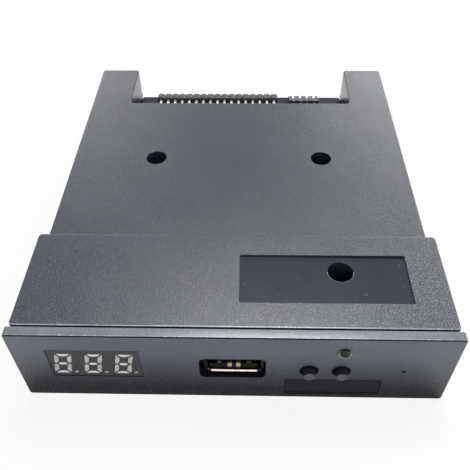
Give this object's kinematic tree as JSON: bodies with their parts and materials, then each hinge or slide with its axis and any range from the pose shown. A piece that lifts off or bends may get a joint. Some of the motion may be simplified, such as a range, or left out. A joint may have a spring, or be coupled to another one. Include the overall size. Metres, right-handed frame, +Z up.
{
  "type": "floppy drive emulator",
  "caption": "Floppy drive emulator for a 3.5-inch bay: stepped plastic case, bezel with USB port, digit display, two push buttons and a lamp, and pin headers in a rear notch.",
  "frame": {"origin": "under the middle of the object's overall width and depth, on the plane of its underside", "axes": "+X to the right seen from the front, +Y from the bezel to the rear connectors, +Z up"},
  "size_m": [0.1016, 0.1212, 0.0254],
  "materials": {
    "bezel_plastic": "fine satin moulded ABS, darker towards the foot",
    "case_plastic": "moulded ABS with a fine spark-eroded grain",
    "dark_steel": "black-plated steel, bright where it is worn",
    "black_plastic": "moulded glass-filled nylon",
    "gold_plate": "flash gold plating",
    "display_face": "dark grey screened face",
    "segment_epoxy": "milky diffusing epoxy, unlit",
    "circuit_board": "green solder mask on glass epoxy",
    "grey_nylon": "moulded nylon",
    "blue_plastic": "moulded nylon",
    "tin_plate": "bright tin plating",
    "aluminium_can": "drawn aluminium",
    "green_lens": "green-tinted clear epoxy"
  },
  "bodies": {
    "case": {"front_bezel": "bezel_plastic", "top_cover": "case_plastic", "bottom_tray": "case_plastic", "case_screw_1": "dark_steel", "case_screw_2": "dark_steel", "case_screw_3": "dark_steel", "usb_shell": "dark_steel", "usb_insulator": "black_plastic", "usb_contact_1": "gold_plate", "usb_contact_2": "gold_plate", "usb_contact_3": "gold_plate", "usb_contact_4": "gold_plate", "display_housing": "display_face", "display_digit_1": "segment_epoxy", "display_digit_2": "segment_epoxy", "display_digit_3": "segment_epoxy", "display_board": "circuit_board", "display_driver": "black_plastic", "display_connector": "black_plastic", "main_board": "circuit_board", "ribbon_header": "black_plastic", "power_connector": "grey_nylon", "jumper_header": "black_plastic", "jumper_cap_1": "blue_plastic", "jumper_cap_2": "blue_plastic", "service_header": "black_plastic", "main_chip": "black_plastic", "crystal": "tin_plate", "voltage_regulator": "black_plastic", "capacitor_1": "aluminium_can", "capacitor_2": "aluminium_can", "left_switch_housing": "black_plastic", "right_switch_housing": "black_plastic", "left_switch_plate": "tin_plate", "right_switch_plate": "tin_plate", "left_switch_dome": "tin_plate", "right_switch_dome": "tin_plate", "status_lamp": "green_lens"},
    "left_button": {"left_button": "black_plastic"},
    "right_button": {"right_button": "black_plastic"}
  },
  "joints": [
    {"name": "left_press", "type": "slide", "parent": "case", "child": "left_button", "axis": [0, 1, 0], "range_m": [0, 0.0004], "stiffness_N_per_m": 1500, "springref_m": -0.0003},
    {"name": "right_press", "type": "slide", "parent": "case", "child": "right_button", "axis": [0, 1, 0], "range_m": [0, 0.0004], "stiffness_N_per_m": 1500, "springref_m": -0.0003}
  ]
}
